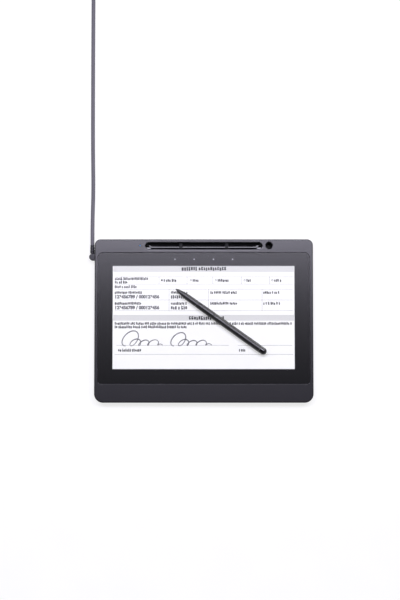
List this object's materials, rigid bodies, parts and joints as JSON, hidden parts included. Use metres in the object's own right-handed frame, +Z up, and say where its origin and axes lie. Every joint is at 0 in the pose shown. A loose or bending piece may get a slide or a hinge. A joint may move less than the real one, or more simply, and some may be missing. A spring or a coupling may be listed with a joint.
{
  "type": "signature pad",
  "caption": "Flat counter-top pen display for signing forms, with its pen, pen tray, upright pen hole, fold-out stand legs and a data cable.",
  "frame": {"origin": "on the desk under the middle of the pad's body, without the cable", "axes": "+X to the signer's right along the long side, +Y away from the signer towards the pen tray, +Z up"},
  "size_m": [0.2889, 0.6231, 0.0256],
  "materials": {
    "housing": "fine satin",
    "underside": "fine satin",
    "cover_glass": "etched anti-glare",
    "adhesive": "matt",
    "display": "lit screen",
    "backlight": "plain",
    "circuit_board": "solder mask",
    "steel": "zinc plated",
    "brass": "knurled",
    "ribbon": "polyimide film",
    "status_light": "lit blue",
    "tray": "polished",
    "rubber": "matt",
    "pen_body": "satin",
    "pen_gloss": "polished",
    "ferrite": "sintered",
    "cord": "matt jacket",
    "plug": "fine satin",
    "connector": "nickel plated"
  },
  "bodies": {
    "pad": {"front_housing": "housing", "rear_cover": "underside", "cover_glass": "cover_glass", "glass_adhesive": "adhesive", "touch_key_strip": "ribbon", "display_panel": "display", "backlight_unit": "backlight", "sensor_board": "circuit_board", "shield_plate": "steel", "chassis_frame": "steel", "main_board": "circuit_board", "display_ribbon": "ribbon", "sensor_ribbon": "ribbon", "light_guide": "status_light", "light_board": "circuit_board", "pen_tray": "tray", "tray_rest_left": "rubber", "tray_rest_right": "rubber", "pen_socket": "tray", "cable_socket": "connector", "socket_board": "circuit_board", "security_plate": "steel", "foot_near_left": "rubber", "foot_near_right": "rubber", "foot_far_left": "rubber", "foot_far_right": "rubber", "left_leg_pin": "steel", "right_leg_pin": "steel", "mount_insert_1": "brass", "mount_insert_2": "brass", "mount_insert_3": "brass", "mount_insert_4": "brass", "cover_screw_1": "steel", "cover_screw_2": "steel", "cover_screw_3": "steel", "cover_screw_4": "steel", "cover_screw_5": "steel", "cover_screw_6": "steel"},
    "pen": {"pen_cone": "pen_body", "pen_barrel": "pen_body", "pen_cap": "pen_gloss", "pen_core": "ferrite", "pen_board": "circuit_board"},
    "nib": {"pen_nib": "tray"},
    "side_switch": {"pen_switch": "pen_gloss"},
    "left_stand": {"left_leg": "underside", "left_leg_shoe": "rubber"},
    "right_stand": {"right_leg": "underside", "right_leg_shoe": "rubber"},
    "cable": {"cable_plug": "plug", "plug_nose": "connector", "cable_strain_relief": "plug", "cord_run": "cord", "cord_coil": "cord", "cord_tail": "cord", "cord_tie": "rubber", "usb_strain_relief": "plug", "usb_plug_body": "plug", "usb_plug_shell": "connector"}
  },
  "joints": [
    {"name": "pen_lift", "type": "slide", "parent": "pad", "child": "pen", "axis": [0, 0, 1], "range_m": [0, 0.12]},
    {"name": "nib_press", "type": "slide", "parent": "pen", "child": "nib", "axis": [0.8141, -0.5807, 0], "range_m": [0, 0.0004], "stiffness_N_per_m": 1500},
    {"name": "side_switch_rock", "type": "hinge", "parent": "pen", "child": "side_switch", "pos_m": [0.00326, 0.01322, 0.02274], "axis": [-0.5635, -0.7899, 0.2419], "range_deg": [-1.5, 1.5], "stiffness_Nm_per_rad": 0.5},
    {"name": "left_leg_fold", "type": "hinge", "parent": "pad", "child": "left_stand", "pos_m": [-0.088, 0.079, 0.0035], "axis": [1, 0, 0], "range_deg": [0, 100]},
    {"name": "right_leg_fold", "type": "hinge", "parent": "pad", "child": "right_stand", "pos_m": [0.088, 0.079, 0.0035], "axis": [1, 0, 0], "range_deg": [0, 100]},
    {"name": "cable_unplug", "type": "slide", "parent": "pad", "child": "cable", "axis": [-1, 0, 0], "range_m": [0, 0.01]}
  ]
}
